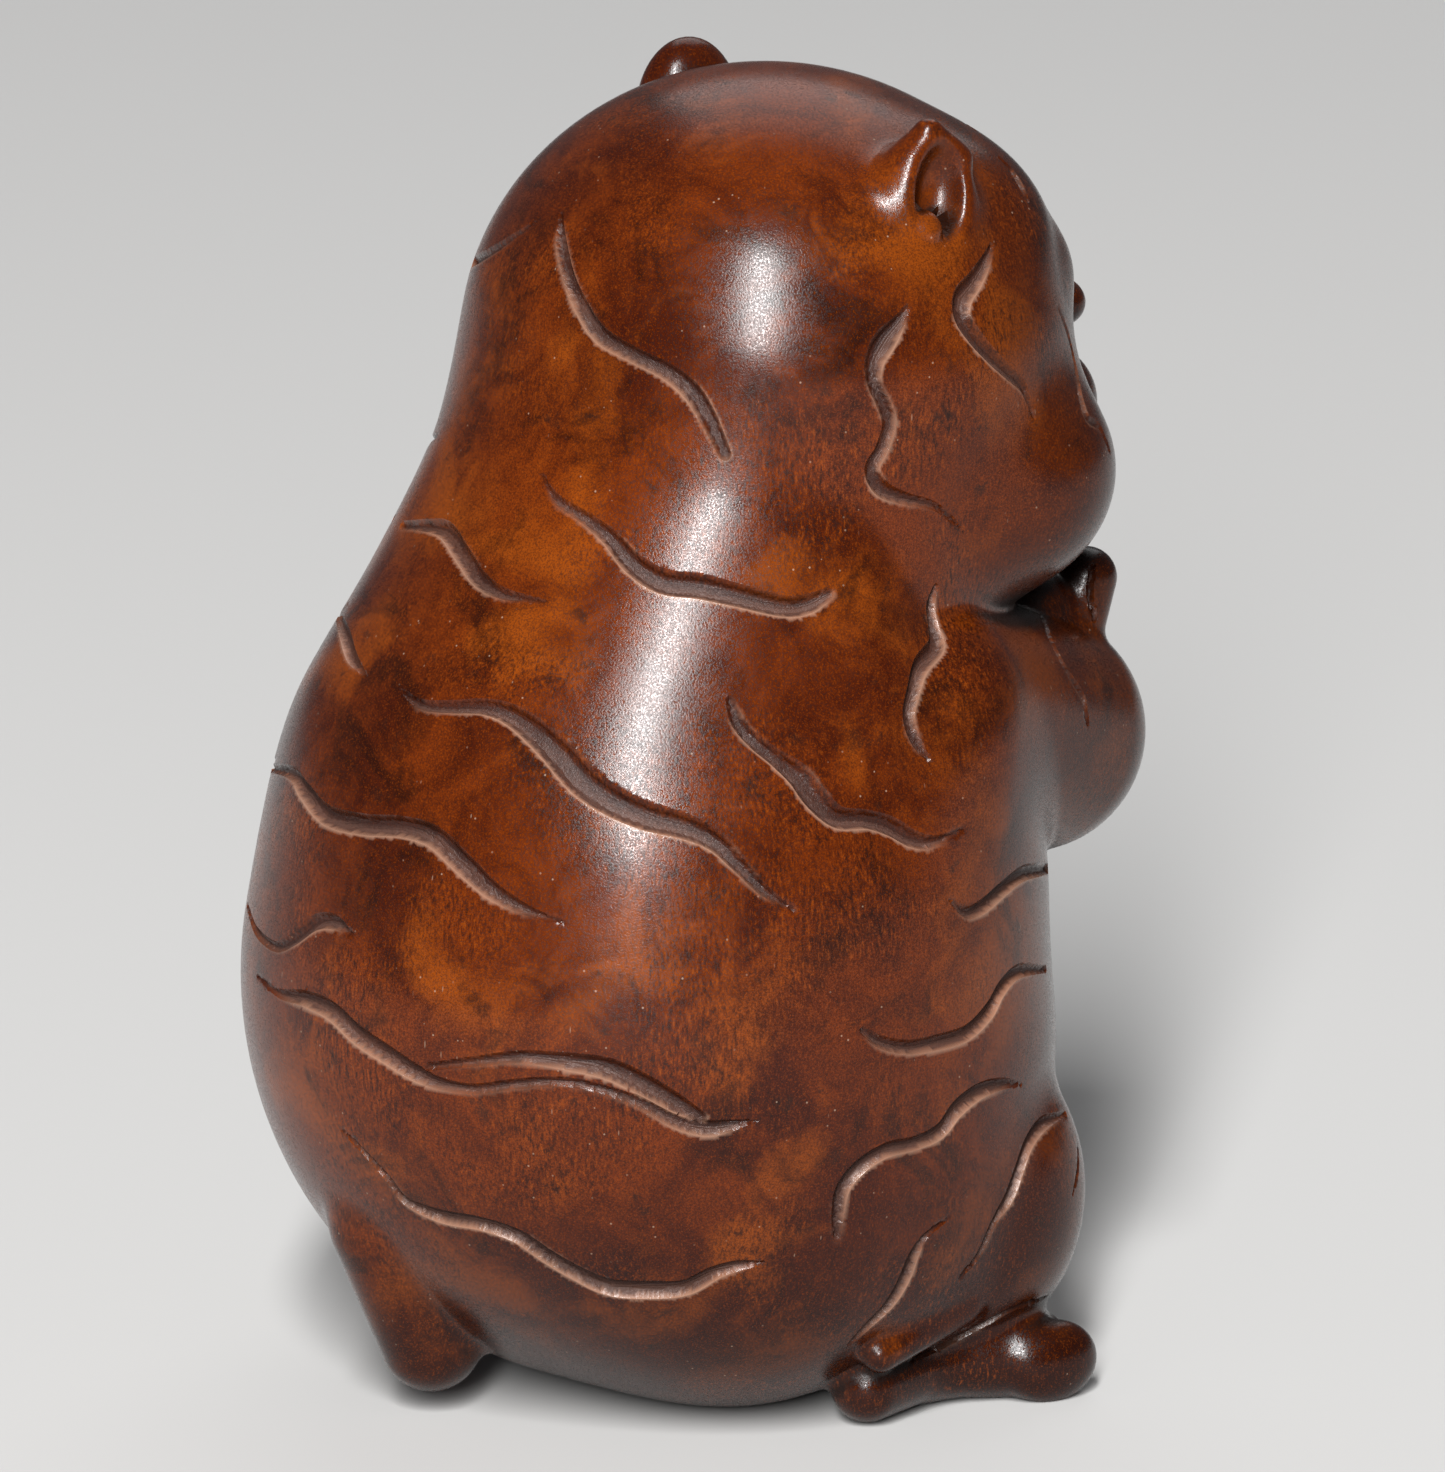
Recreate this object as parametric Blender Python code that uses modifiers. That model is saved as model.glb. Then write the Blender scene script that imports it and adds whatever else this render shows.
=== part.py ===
"""A boxwood cat, carved in one piece: it sits up with its forepaws folded under its chin.

The cat faces -Y, its tail is towards +Y, and it stands on z = 0. The origin is under the middle
of its body. Its form is a blend of round masses, with its stripes cut in as shallow grooves.
Every place and radius of the form is a share of the height: it is given in design units, of
which the ground-to-crown height has 53, and one is a millimetre at the real size.
"""

import bmesh
import bpy
import numpy as np
from mathutils import Matrix, Vector

# Driving sizes, in metres
HEIGHT = 0.053             # ground to crown
STRIPE_WIDTH = 0.0011      # widest stripe, lip to lip
STRIPE_DEPTH = 0.00038
LINE_WIDTH = 0.0006        # eyelids, mouth and the fold under the thigh
LINE_DEPTH = 0.0003

# The form's own measure
UNITS_TALL = 53.0
UNIT = HEIGHT / UNITS_TALL

# Fineness of the finished solid
ROUGH_VOXEL = 0.6          # design units
FINE_VOXEL = 0.26
PULL_STEPS = 5
LONGEST_PULL = 0.5         # in one step
TRIANGLES = 9600

# The wood
WOOD_COLOUR = (0.235, 0.062, 0.014, 1.0)
WOOD_ROUGHNESS = 0.32


# Round masses

def ball(centre, radii, blend=0.0, lean=0.0):
    """An ellipsoid whose top leans forward by lean degrees."""
    return {"centre": centre, "radii": radii, "blend": blend, "lean": lean}


def limb(start, end, start_radius, end_radius, blend=0.0):
    """A round bar that tapers from one end ball to the other."""
    return {"start": start, "end": end, "radii": (start_radius, end_radius), "blend": blend}


TORSO = [
    ball((0, 2.4, 16.6), (16.4, 16.0, 16.6)),                        # seat
    ball((0, -1.6, 12.8), (13.8, 12.4, 10.5), blend=3.0),            # belly
    ball((6.4, 1.6, 9.4), (8.2, 8.6, 8.9), blend=3.0),               # haunches
    ball((0, 1.3, 24.4), (14.6, 14.6, 10.7), blend=4.0, lean=14),    # back
    limb((0, 14.3, 8.0), (0, 12.5, 2.85), 2.5, 2.05, blend=0.8),     # tail
]
HEAD = [
    ball((0, -3.7, 41.5), (12.6, 12.2, 11.5)),                       # skull
    ball((0, -0.6, 33.0), (12.3, 11.5, 9.8), blend=3.4, lean=14),    # nape
    ball((4.4, -8.4, 46.3), (5.2, 4.5, 4.2), blend=1.5, lean=7),     # brows
    ball((5.8, -8.9, 37.0), (6.4, 6.4, 5.4), blend=1.6),             # jowls
    ball((2.1, -15.0, 38.5), (2.9, 2.9, 2.6), blend=0.8),            # whisker pads
    ball((0, -14.6, 36.5), (2.5, 2.3, 1.7), blend=0.8),              # chin
    ball((0, -15.0, 42.8), (2.5, 3.4, 2.6), blend=1.8, lean=-25),    # bridge of the nose
    ball((0, -17.8, 42.0), (1.5, 1.3, 1.1), blend=0.25),             # nose
    ball((4.6, -11.9, 44.7), (3.2, 2.4, 2.3), blend=1.2),            # eyelids
]
EAR_LEAF = ball((9.1, -4.9, 48.4), (1.7, 2.3, 3.1), blend=1.0)
# The right ear stands up to its tip. The left one is folded forward, and higher and further on,
# because the head tips and turns a little to the cat's right.
EARS = {
    -1: {"shift": (0.0, 0.0, 0.0),
         "tip": limb((9.2, -4.7, 48.6), (9.4, -4.9, 51.6), 1.25, 0.35, blend=0.7),
         "fold": limb((9.3, -5.2, 51.3), (9.5, -6.5, 50.4), 0.3, 0.25, blend=0.9)},
    1: {"shift": (0.0, -1.1, 1.25),
        "tip": limb((9.1, -5.6, 49.0), (9.6, -7.8, 49.5), 1.1, 0.4, blend=0.7),
        "fold": limb((9.4, -7.6, 49.4), (9.6, -7.4, 47.6), 0.4, 0.35, blend=0.9)},
}
EAR_HOLLOW = ball((11.0, -4.95, 49.4), (1.8, 1.25, 2.05), blend=0.5, lean=15)
EAR_BOSS = ball((10.1, -4.1, 47.7), (0.9, 0.85, 0.9), blend=0.12)

FOREARM = limb((9.2, -4.5, 28.4), (4.6, -13.2, 25.5), 4.6, 4.95)
THIGH = ball((8.6, -6.2, 8.3), (5.4, 6.2, 7.0), lean=-10)
SHIN = limb((12.9, -0.4, 3.3), (12.5, -4.6, 4.5), 0.75, 0.8, blend=0.5)
HEEL = limb((11.3, -0.9, 1.5), (10.3, -4.6, 1.6), 1.45, 1.4, blend=0.6)
FOOT = limb((10.3, -4.6, 1.6), (11.0, -7.8, 1.9), 1.4, 2.1, blend=0.7)

FOREPAW_TOES = 3
FOREPAW_TOE = limb((1.4, -15.0, 29.6), (1.4, -15.7, 31.7), 1.3, 1.25, blend=0.5)
FOREPAW_TOE_STEP = 2.0
FOREPAW_HEEL = ball((4.9, -13.2, 30.4), (1.7, 2.1, 1.9), blend=0.4)
HIND_TOES = 3
HIND_TOE = ball((9.2, -9.0, 1.5), (1.25, 2.1, 1.7), blend=0.5)
HIND_TOE_STEP = 1.7

# How crisply a mass meets the body: sharp in front, melting away behind
FOREARM_MEETS = {"front": -13.0, "back": -4.0, "crisp": 0.6, "soft": 4.5}
THIGH_MEETS = {"front": -9.0, "back": -1.0, "crisp": 0.7, "soft": 3.8}
HEAD_MEETS = {"front": -4.5, "back": 0.8, "crisp": 0.4, "soft": 5.0}


def size(vectors):
    """The length of each row."""
    return np.sqrt(np.einsum("ij,ij->i", vectors, vectors))


def lean_matrix(degrees):
    """Turn about X that tips a vertical forward, towards -Y."""
    c, s = np.cos(np.radians(degrees)), np.sin(np.radians(degrees))
    return np.array([[1, 0, 0], [0, c, -s], [0, s, c]])


def distance_to(mass, points):
    """Distance from each point to one mass, negative inside it.

    For a ball it is k (k - 1) / g, with k the length of the offset over the radii and g that of
    the offset over their squares. For a limb it is the distance to its axis less its radius there.
    """
    if "start" in mass:
        start, end = np.array(mass["start"], float), np.array(mass["end"], float)
        axis = end - start
        along = np.clip((points - start) @ axis / (axis @ axis), 0, 1)
        radius = mass["radii"][0] + (mass["radii"][1] - mass["radii"][0]) * along
        return size(points - start - along[:, None] * axis) - radius
    offset = (points - np.array(mass["centre"], float)) @ lean_matrix(mass["lean"])
    radii = np.array(mass["radii"], float)
    k = size(offset / radii)
    return k * (k - 1) / (size(offset / radii ** 2) + 1e-9)


def melt(first, second, blend):
    """The nearer of two distances, rounded over where they differ by less than blend."""
    share = np.clip(0.5 + 0.5 * (second - first) / blend, 0, 1)
    return second + (first - second) * share - blend * share * (1 - share)


def ease(value, start, end):
    """0 before start, 1 after end, and a smooth step between."""
    t = np.clip((value - start) / (end - start), 0, 1)
    return t * t * (3 - 2 * t)


def meeting(y, meets):
    """The blend at depth y for a mass that meets the body crisply in front and softly behind."""
    return meets["crisp"] + (meets["soft"] - meets["crisp"]) * ease(y, meets["front"], meets["back"])


def group(masses, points):
    total = distance_to(masses[0], points)
    for mass in masses[1:]:
        total = melt(total, distance_to(mass, points), mass["blend"])
    return total


def moved(mass, step):
    """The same mass, moved by step."""
    copy = dict(mass)
    for key in ("centre", "start", "end"):
        if key in mass:
            copy[key] = tuple(a + b for a, b in zip(mass[key], step))
    return copy


FOREPAWS = [moved(FOREPAW_TOE, (i * FOREPAW_TOE_STEP, 0, 0)) for i in range(FOREPAW_TOES)]
FOREPAWS.append(FOREPAW_HEEL)
HIND_FOOT = [HEEL, FOOT] + [moved(HIND_TOE, (i * HIND_TOE_STEP, 0, 0)) for i in range(HIND_TOES)]


def form(points):
    """Distance from each point to the uncarved cat, in design units, negative inside."""
    both = np.column_stack([np.abs(points[:, 0]), points[:, 1:]])
    y = both[:, 1]
    body = group(TORSO, both)
    body = melt(body, distance_to(FOREARM, both), meeting(y, FOREARM_MEETS))
    body = melt(body, distance_to(THIGH, both), meeting(y, THIGH_MEETS))
    body = melt(body, distance_to(SHIN, both), SHIN["blend"])
    body = melt(body, group(HIND_FOOT, both), HEEL["blend"])
    body = melt(body, group(FOREPAWS, both), FOREPAW_TOE["blend"])
    whole = melt(body, group(HEAD, both), meeting(y, HEAD_MEETS))
    for side, ear in EARS.items():
        ear_points = (points - ear["shift"]) * (side, 1, 1)
        whole = melt(whole, group([EAR_LEAF, ear["tip"], ear["fold"]], ear_points), EAR_LEAF["blend"])
        whole = -melt(-whole, distance_to(EAR_HOLLOW, ear_points), EAR_HOLLOW["blend"])
        whole = melt(whole, distance_to(EAR_BOSS, ear_points), EAR_BOSS["blend"])
    return whole


def slope(points, reach=0.02):
    """Unit normals of the form, from its values at the corners of a small tetrahedron."""
    corners = np.array([(1, -1, -1), (-1, -1, 1), (-1, 1, -1), (1, 1, 1)], float)
    normal = sum(form(points + reach * corner)[:, None] * corner for corner in corners)
    return normal / size(normal)[:, None]


# Carved lines. Each is drawn flat, as seen from one of two sides, and thrown onto the form.
# Its points are millimetres to the right of and above the middle of the base in that view.

VIEWS = {
    "flank": {"turn": 34.0, "rise": 13.0},     # from behind the cat's right shoulder
    "face": {"turn": -90.0, "rise": 0.0},      # from straight in front
}
VIEW_DISTANCE = 400.0
VIEW_CENTRE = (1.3, 25.4)
CURVE_SAMPLES = 12         # thrown onto the form for each span between two points of a line
LINE_SPACING = 0.12        # between the samples of a carved line
TAPER = 3.2                # length over which a line narrows to its point
LIP_SHARE = 0.8            # share of the half width that the sloping wall takes


def line(points, width=1.0, view="flank", sides=(-1,), fine=False):
    """A carved line: a stripe, or a fine line where fine is set."""
    return {"points": points, "width": width, "view": view, "sides": sides, "fine": fine}


BOTH = (-1, 1)
LINES = [
    # Down the back and flank, on the side that the view shows
    line([(-5.4, 46.2), (-5.1, 43.8), (-2.0, 40.9), (0.4, 38.6), (1.5, 36.9)], 0.7),
    line([(-5.9, 35.9), (-3.1, 33.0), (0.4, 31.4), (4.5, 30.7), (5.6, 31.3)]),
    line([(-11.4, 34.4), (-9.6, 33.8), (-8.0, 31.6), (-6.1, 30.9)], 0.9),
    line([(-14.1, 29.5), (-13.9, 28.7), (-13.2, 28.0)], 0.6),
    line([(-11.6, 27.2), (-8.2, 26.6), (-5.7, 24.4), (-3.3, 22.4), (0.8, 21.1), (4.2, 18.4)], 1.1),
    line([(-16.9, 24.0), (-14.1, 21.8), (-11.2, 21.6), (-8.6, 19.5), (-5.5, 17.9)], 1.05),
    line([(-18.0, 17.9), (-16.9, 16.7), (-14.9, 17.9), (-14.0, 17.4)], 0.65),
    line([(-17.7, 15.6), (-15.2, 14.5), (-12.4, 12.3), (-9.9, 11.6), (-6.2, 11.9), (-2.0, 10.9),
          (2.4, 9.6)], 1.2),
    line([(-14.1, 9.2), (-11.8, 6.7), (-7.2, 5.0), (-3.9, 3.3), (-0.5, 2.9), (2.9, 3.8)]),
    line([(-8.6, 44.6), (-7.6, 45.4), (-6.3, 46.4)], 0.5),
    # Across the back to the far side
    line([(-1.2, 42.3), (1.4, 40.9), (4.2, 40.6), (6.2, 39.4)], 0.7, sides=(1,)),
    line([(-4.4, 35.9), (-1.2, 34.4), (2.2, 34.0), (5.4, 32.4), (7.2, 32.0)], 0.9, sides=(1,)),
    line([(-4.4, 31.9), (-1.0, 29.9), (2.8, 29.2), (6.0, 27.3), (8.2, 27.2)], sides=(1,)),
    line([(-6.4, 28.3), (-3.4, 26.0), (0.2, 24.8), (3.4, 22.6), (5.4, 22.3)], sides=(1,)),
    line([(-8.2, 21.3), (-4.6, 19.4), (-0.8, 18.9), (3.0, 17.2), (5.6, 17.4)], 1.1, sides=(1,)),
    line([(-8.4, 16.0), (-4.8, 14.6), (-1.0, 13.6), (3.0, 13.9), (5.4, 12.6)], sides=(1,)),
    line([(-8.6, 7.5), (-4.8, 6.6), (-0.6, 7.4), (3.2, 6.0), (5.4, 5.0)], sides=(1,)),
    # Forelegs, breast, haunch and cheeks, alike on both sides
    line([(1.7, 26.8), (2.1, 25.6), (3.4, 24.6), (5.3, 22.4), (7.6, 22.0), (9.8, 21.1), (11.3, 21.6)],
         0.95, sides=BOTH),
    line([(9.9, 31.4), (9.8, 30.3), (10.2, 29.0), (9.0, 27.5), (8.9, 26.2), (9.8, 24.4)],
         0.8, sides=BOTH),
    line([(14.5, 30.0), (15.8, 27.4), (16.2, 25.9)], 0.55, sides=BOTH),
    line([(8.8, 42.9), (7.3, 40.6), (8.2, 38.7), (8.1, 37.7), (7.5, 35.8), (9.5, 34.9), (11.1, 33.8)],
         0.95, sides=BOTH),
    line([(12.3, 45.3), (11.0, 43.7), (11.1, 42.5), (12.7, 40.4), (13.5, 39.8), (14.0, 38.4)],
         0.8, sides=BOTH),
    line([(10.2, 18.8), (11.3, 18.0), (13.1, 19.3), (14.2, 19.8)], 0.8, sides=BOTH),
    line([(7.1, 13.3), (9.6, 12.5), (12.3, 13.9), (13.5, 15.7), (14.5, 15.7)], 0.9, sides=BOTH),
    line([(6.0, 5.1), (6.0, 6.7), (8.2, 8.4), (10.6, 9.5), (12.4, 11.1), (13.3, 11.2)], 0.9, sides=BOTH),
    line([(11.1, 3.3), (12.9, 6.4), (14.0, 9.1), (15.1, 9.9)], 0.85, sides=BOTH),
    line([(6.5, 0.6), (8.4, 2.4), (8.8, 3.6), (10.4, 5.8)], 0.75, sides=BOTH),
    line([(15.8, 8.5), (15.7, 6.9)], 0.4, sides=BOTH),
    line([(15.0, 42.9), (15.5, 41.6), (15.9, 39.7), (16.5, 38.8), (17.0, 37.3)], 0.45, sides=BOTH),
    # Under the thigh, and between the forepaw and its outer toe
    line([(14.5, 2.5), (13.1, 2.0), (11.6, 1.2), (10.2, 0.5), (8.6, -0.2), (7.0, -0.6)],
         sides=BOTH, fine=True),
    line([(16.4, 32.4), (16.3, 31.3), (16.5, 30.1)], 0.6, sides=BOTH, fine=True),
    # Across the forehead
    line([(-4.2, 51.6), (-2.0, 51.2), (0.0, 51.6), (2.0, 51.2), (4.2, 51.6)], 0.6, "face"),
    line([(-4.8, 50.0), (-2.2, 49.4), (0.0, 49.9), (2.2, 49.4), (4.8, 50.0)], 0.7, "face"),
    line([(-5.4, 48.2), (-2.4, 47.0), (0.0, 47.6), (2.4, 47.0), (5.4, 48.2)], 0.7, "face"),
    # Closed eyes and mouth
    line([(3.1, 44.0), (4.3, 43.3), (6.0, 43.3), (7.4, 44.3)], 1.3, "face", BOTH, fine=True),
    line([(0.1, 40.8), (0.0, 38.8), (1.3, 37.7), (3.4, 37.9)], 1.0, "face", BOTH, fine=True),
]


def smooth_curve(points, samples):
    """Points along a Catmull-Rom curve through the given ones, samples to each span."""
    points = np.array(points, float)
    ends = np.vstack([2 * points[0] - points[1], points, 2 * points[-1] - points[-2]])
    t = np.linspace(0, 1, samples, endpoint=False)[:, None]
    spans = []
    for a, b, c, d in zip(ends, ends[1:], ends[2:], ends[3:]):
        spans.append(0.5 * (2 * b + (c - a) * t + (2 * a - 5 * b + 4 * c - d) * t ** 2
                            + (3 * b - a - 3 * c + d) * t ** 3))
    return np.vstack(spans + [points[-1:]])


def thrown_onto_form(flat, view):
    """Where sight lines through the points of a view first meet the form, less those that miss."""
    turn, rise = np.radians(view["turn"]), np.radians(view["rise"])
    right = np.array([-np.sin(turn), -np.cos(turn), 0.0])
    back = np.array([-np.cos(turn) * np.cos(rise), np.sin(turn) * np.cos(rise), np.sin(rise)])
    up = np.cross(back, right)
    eye = VIEW_CENTRE[0] * right + VIEW_CENTRE[1] * up + VIEW_DISTANCE * back
    sight = flat[:, :1] * right + flat[:, 1:] * up - eye
    sight /= size(sight)[:, None]
    start_short, march_steps, caution, touching = 36.0, 60, 0.85, 0.1
    travelled = np.full(len(flat), VIEW_DISTANCE - start_short)
    for _ in range(march_steps):
        travelled += caution * np.maximum(form(eye + travelled[:, None] * sight), 0)
    met = eye + travelled[:, None] * sight
    return met[form(met) < touching]


def carved_path(mark):
    """The samples of one line on the form, and the half width at each."""
    flat = smooth_curve(mark["points"], CURVE_SAMPLES)
    path = thrown_onto_form(flat, VIEWS[mark["view"]])
    length = np.concatenate([[0], np.cumsum(size(np.diff(path, axis=0)))])
    even = np.linspace(0, length[-1], max(int(length[-1] / LINE_SPACING), 3))
    path = np.column_stack([np.interp(even, length, path[:, axis]) for axis in range(3)])
    to_end = np.minimum(even, length[-1] - even) / min(TAPER, length[-1] / 2)
    narrow = 0.2 + 0.8 * np.sqrt(np.clip(to_end, 0, 1))
    full = (LINE_WIDTH if mark["fine"] else STRIPE_WIDTH) / UNIT
    return path, 0.5 * full * mark["width"] * narrow


def carving_depth(points):
    """How deep each point of the surface lies under the uncarved form, in design units."""
    depth = np.zeros(len(points))
    for mark in LINES:
        path, half = carved_path(mark)
        full = (LINE_DEPTH if mark["fine"] else STRIPE_DEPTH) / UNIT
        for side in mark["sides"]:
            sided = path * (-side, 1, 1)
            low, high = sided.min(axis=0) - half.max(), sided.max(axis=0) + half.max()
            near = np.nonzero(((points > low) & (points < high)).all(axis=1))[0]
            if not near.size:
                continue
            squares = (sided ** 2).sum(axis=1) - 2 * points[near] @ sided.T
            nearest = squares.argmin(axis=1)
            share = size(points[near] - sided[nearest]) / half[nearest]
            cut = full * (half[nearest] / half.max()) * (1 - ease(share, 1 - LIP_SHARE, 1.0))
            depth[near] = np.maximum(depth[near], cut)
    return depth


# The solid

def add_mass(mesh, mass, shift=(0, 0, 0), side=1):
    """Add a mass's own ball, or the hull of a limb's two end balls, to the rough shape."""
    facets = {"u_segments": 24, "v_segments": 16, "radius": 1.0}
    mirror = Matrix.Translation(Vector(shift)) @ Matrix.Diagonal((side, 1, 1, 1))
    if "start" in mass:
        verts = []
        for end, radius in zip((mass["start"], mass["end"]), mass["radii"]):
            place = mirror @ Matrix.Translation(end) @ Matrix.Scale(radius, 4)
            verts += bmesh.ops.create_uvsphere(mesh, matrix=place, **facets)["verts"]
        hull = bmesh.ops.convex_hull(mesh, input=verts)
        spare = {item for key in ("geom_interior", "geom_unused") for item in hull[key]}
        bmesh.ops.delete(mesh, geom=[v for v in spare if isinstance(v, bmesh.types.BMVert)])
        return
    lean = Matrix(lean_matrix(mass["lean"]).tolist()).to_4x4()
    place = mirror @ Matrix.Translation(mass["centre"]) @ lean @ Matrix.Diagonal((*mass["radii"], 1))
    bmesh.ops.create_uvsphere(mesh, matrix=place, **facets)


def rough_shape():
    """All the masses as one overlapping mesh."""
    mesh = bmesh.new()
    for mass in TORSO + HEAD + [FOREARM, THIGH, SHIN] + HIND_FOOT + FOREPAWS:
        for side in (-1, 1):
            add_mass(mesh, mass, side=side)
    for side, ear in EARS.items():
        for mass in (EAR_LEAF, ear["tip"], ear["fold"]):
            add_mass(mesh, mass, ear["shift"], side)
    bmesh.ops.recalc_face_normals(mesh, faces=mesh.faces)
    data = bpy.data.meshes.new("cat")
    mesh.to_mesh(data)
    mesh.free()
    return data


def applied(thing, kind, **settings):
    """Apply one modifier of the given kind to an object."""
    modifier = thing.modifiers.new(kind.title(), kind)
    for name, value in settings.items():
        setattr(modifier, name, value)
    finished = bpy.data.meshes.new_from_object(
        thing.evaluated_get(bpy.context.evaluated_depsgraph_get()))
    thing.modifiers.clear()
    old, thing.data = thing.data, finished
    bpy.data.meshes.remove(old)


def shaped(mesh, carved):
    """Draw every vertex onto the form and, if carved, sink it to its carved depth."""
    flat = np.empty(len(mesh.vertices) * 3, np.float32)
    mesh.vertices.foreach_get("co", flat)
    points = flat.reshape(-1, 3).astype(float)
    for _ in range(PULL_STEPS):
        pull = np.clip(form(points), -LONGEST_PULL, LONGEST_PULL)
        points -= pull[:, None] * slope(points)
    if carved:
        points -= carving_depth(points)[:, None] * slope(points)
    mesh.vertices.foreach_set("co", points.astype(np.float32).ravel())
    mesh.update()


def cut_flat(data):
    """Saw the figure off flat at the ground."""
    mesh = bmesh.new()
    mesh.from_mesh(data)
    everything = mesh.verts[:] + mesh.edges[:] + mesh.faces[:]
    bmesh.ops.bisect_plane(mesh, geom=everything, dist=1e-4, plane_co=(0, 0, 0),
                           plane_no=(0, 0, 1), clear_inner=True)
    bmesh.ops.holes_fill(mesh, edges=[e for e in mesh.edges if e.is_boundary], sides=0)
    mesh.to_mesh(data)
    mesh.free()


def boxwood():
    material = bpy.data.materials.new("boxwood")
    material.use_nodes = True
    shader = material.node_tree.nodes["Principled BSDF"]
    shader.inputs["Base Color"].default_value = WOOD_COLOUR
    shader.inputs["Roughness"].default_value = WOOD_ROUGHNESS
    shader.inputs["Metallic"].default_value = 0.0
    return material


def carve_cat():
    figure = bpy.data.objects.new("cat_figure", rough_shape())
    home = bpy.data.collections.new("boxwood_cat")
    bpy.context.scene.collection.children.link(home)
    home.objects.link(figure)
    for voxel, carved in ((ROUGH_VOXEL, False), (FINE_VOXEL, True)):
        applied(figure, "REMESH", mode="VOXEL", voxel_size=voxel)
        shaped(figure.data, carved)
    cut_flat(figure.data)
    sides = sum(len(face.vertices) - 2 for face in figure.data.polygons)
    applied(figure, "DECIMATE", ratio=TRIANGLES / sides, use_collapse_triangulate=True)
    figure.data.transform(Matrix.Scale(UNIT, 4))
    figure.data.shade_smooth()
    figure.data.materials.append(boxwood())
    return figure


for thing in list(bpy.data.objects):
    bpy.data.objects.remove(thing)
carve_cat()
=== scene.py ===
"""The looks of a boxwood cat: its carved skin and its polish, then the floor, light and camera.

The carving's places and radii are in design units, of which it stands 53 tall, one to the
millimetre, until the finished skin is brought to metres.
"""

import bmesh
import bpy
import numpy as np
from mathutils import Matrix, Vector


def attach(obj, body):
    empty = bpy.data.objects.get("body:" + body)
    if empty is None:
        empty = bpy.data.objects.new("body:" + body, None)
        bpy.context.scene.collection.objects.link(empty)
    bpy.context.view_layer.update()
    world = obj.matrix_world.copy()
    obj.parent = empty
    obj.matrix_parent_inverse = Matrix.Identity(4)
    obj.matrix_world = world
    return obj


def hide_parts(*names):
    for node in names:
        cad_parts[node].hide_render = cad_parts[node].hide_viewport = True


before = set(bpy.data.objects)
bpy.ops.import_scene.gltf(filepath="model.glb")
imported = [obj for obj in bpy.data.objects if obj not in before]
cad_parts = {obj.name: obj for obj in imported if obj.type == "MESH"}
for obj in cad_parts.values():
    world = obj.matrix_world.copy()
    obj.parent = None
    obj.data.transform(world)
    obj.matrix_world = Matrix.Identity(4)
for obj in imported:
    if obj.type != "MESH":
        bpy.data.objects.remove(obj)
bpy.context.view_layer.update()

# The rounded block
# One piece of boxwood, roughed out and rounded until it is a cat that sits up asleep, with its
# forepaws folded under its chin. Here it is a distance to round masses that melt together.

UNITS_TALL = 53.0
UNIT = 0.053 / UNITS_TALL


def ball(centre, radii, blend=0.0, lean=0.0):
    """An ellipsoid whose top leans forward by lean degrees."""
    return {"centre": centre, "radii": radii, "blend": blend, "lean": lean}


def limb(start, end, start_radius, end_radius, blend=0.0):
    """A round bar that tapers from one end ball to the other."""
    return {"start": start, "end": end, "radii": (start_radius, end_radius), "blend": blend}


TORSO = [
    ball((0, 2.4, 16.6), (16.4, 16.0, 16.6)),                        # seat
    ball((0, -1.6, 12.8), (13.8, 12.4, 10.5), blend=3.0),            # belly
    ball((6.4, 1.6, 9.4), (8.2, 8.6, 8.9), blend=3.0),               # haunches
    ball((0, 1.3, 24.4), (14.6, 14.6, 10.7), blend=4.0, lean=14),    # back
    limb((0, 14.3, 8.0), (0, 12.5, 2.85), 2.5, 2.05, blend=0.8),     # tail
]
HEAD = [
    ball((0, -3.7, 41.5), (12.6, 12.2, 11.5)),                       # skull
    ball((0, -0.6, 33.0), (12.3, 11.5, 9.8), blend=3.4, lean=14),    # nape
    ball((4.4, -8.4, 46.3), (5.2, 4.5, 4.2), blend=1.5, lean=7),     # brows
    ball((5.8, -8.9, 37.0), (6.4, 6.4, 5.4), blend=1.6),             # jowls
    ball((2.1, -15.0, 38.5), (2.9, 2.9, 2.6), blend=0.8),            # whisker pads
    ball((0, -14.6, 36.5), (2.5, 2.3, 1.7), blend=0.8),              # chin
    ball((0, -15.0, 42.8), (2.5, 3.4, 2.6), blend=1.8, lean=-25),    # bridge of the nose
    ball((0, -17.8, 42.0), (1.5, 1.3, 1.1), blend=0.25),             # nose
    ball((4.6, -11.9, 44.7), (3.2, 2.4, 2.3), blend=1.2),            # eyelids
]
EAR_LEAF = ball((9.1, -4.9, 48.4), (1.7, 2.3, 3.1), blend=1.0)
# The right ear stands up to its tip. The left one is folded forward, and higher and further on,
# because the head tips and turns a little to the cat's right.
EARS = {
    -1: {"shift": (0.0, 0.0, 0.0),
         "tip": limb((9.2, -4.7, 48.6), (9.4, -4.9, 51.6), 1.25, 0.35, blend=0.7),
         "fold": limb((9.3, -5.2, 51.3), (9.5, -6.5, 50.4), 0.3, 0.25, blend=0.9)},
    1: {"shift": (0.0, -1.1, 1.25),
        "tip": limb((9.1, -5.6, 49.0), (9.6, -7.8, 49.5), 1.1, 0.4, blend=0.7),
        "fold": limb((9.4, -7.6, 49.4), (9.6, -7.4, 47.6), 0.4, 0.35, blend=0.9)},
}
EAR_HOLLOW = ball((11.0, -4.95, 49.4), (1.8, 1.25, 2.05), blend=0.5, lean=15)
EAR_BOSS = ball((10.1, -4.1, 47.7), (0.9, 0.85, 0.9), blend=0.12)

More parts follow.
